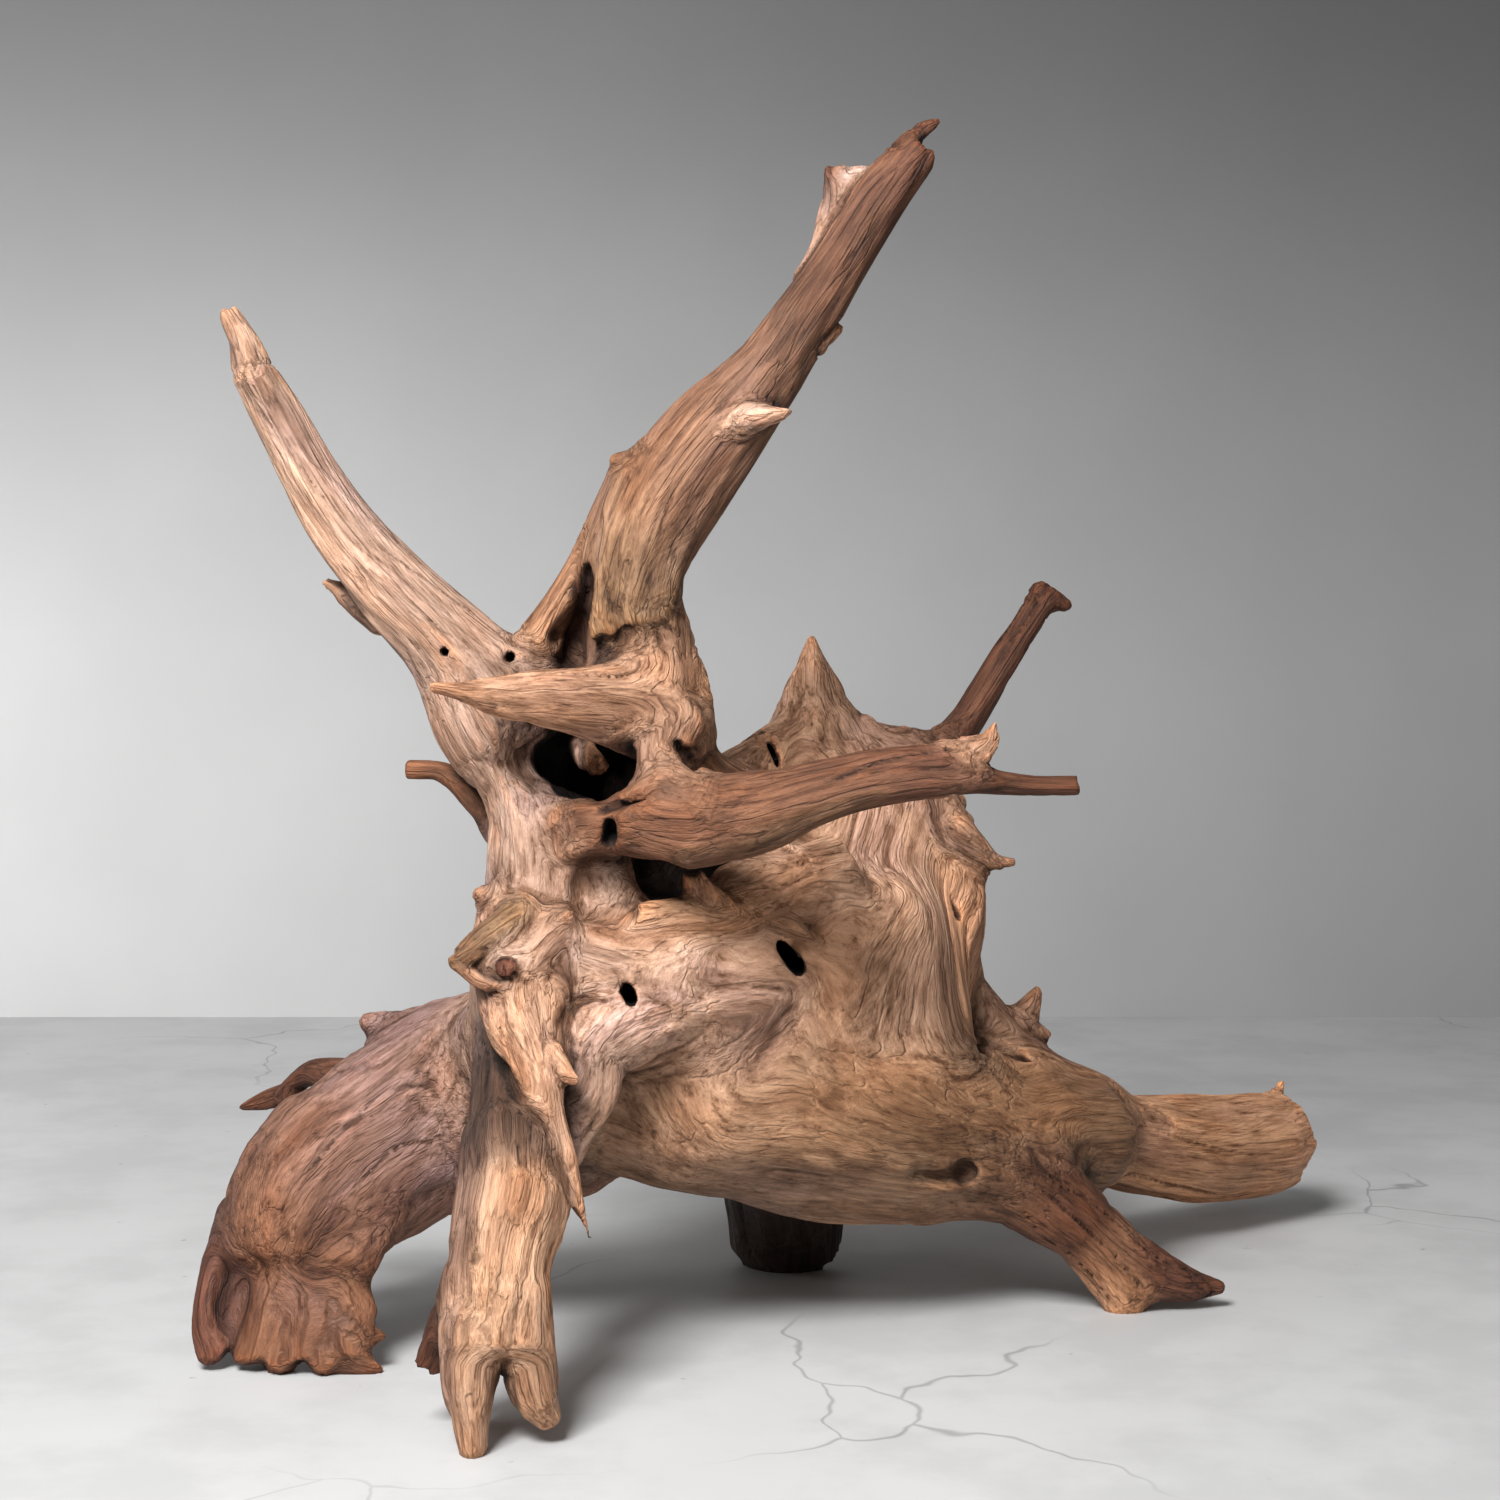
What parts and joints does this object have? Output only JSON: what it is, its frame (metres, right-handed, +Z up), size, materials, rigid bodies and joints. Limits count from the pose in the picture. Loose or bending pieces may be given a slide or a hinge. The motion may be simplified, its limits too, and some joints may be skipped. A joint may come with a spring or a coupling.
{
  "type": "piece of driftwood",
  "caption": "Weathered driftwood root standing on worn feet, with upright branches, a broad leaning shield and rotted hollows; a free-standing natural ornament.",
  "frame": {"origin": "on the floor under the middle of the bounding box", "axes": "+Z up, -Y towards the viewer of the picture, +X to the viewer's right"},
  "size_m": [1.1147, 0.8665, 1.0942],
  "materials": {
    "wood": "dry, weathered, matt"
  },
  "bodies": {
    "root": {"driftwood": "wood"}
  },
  "joints": []
}
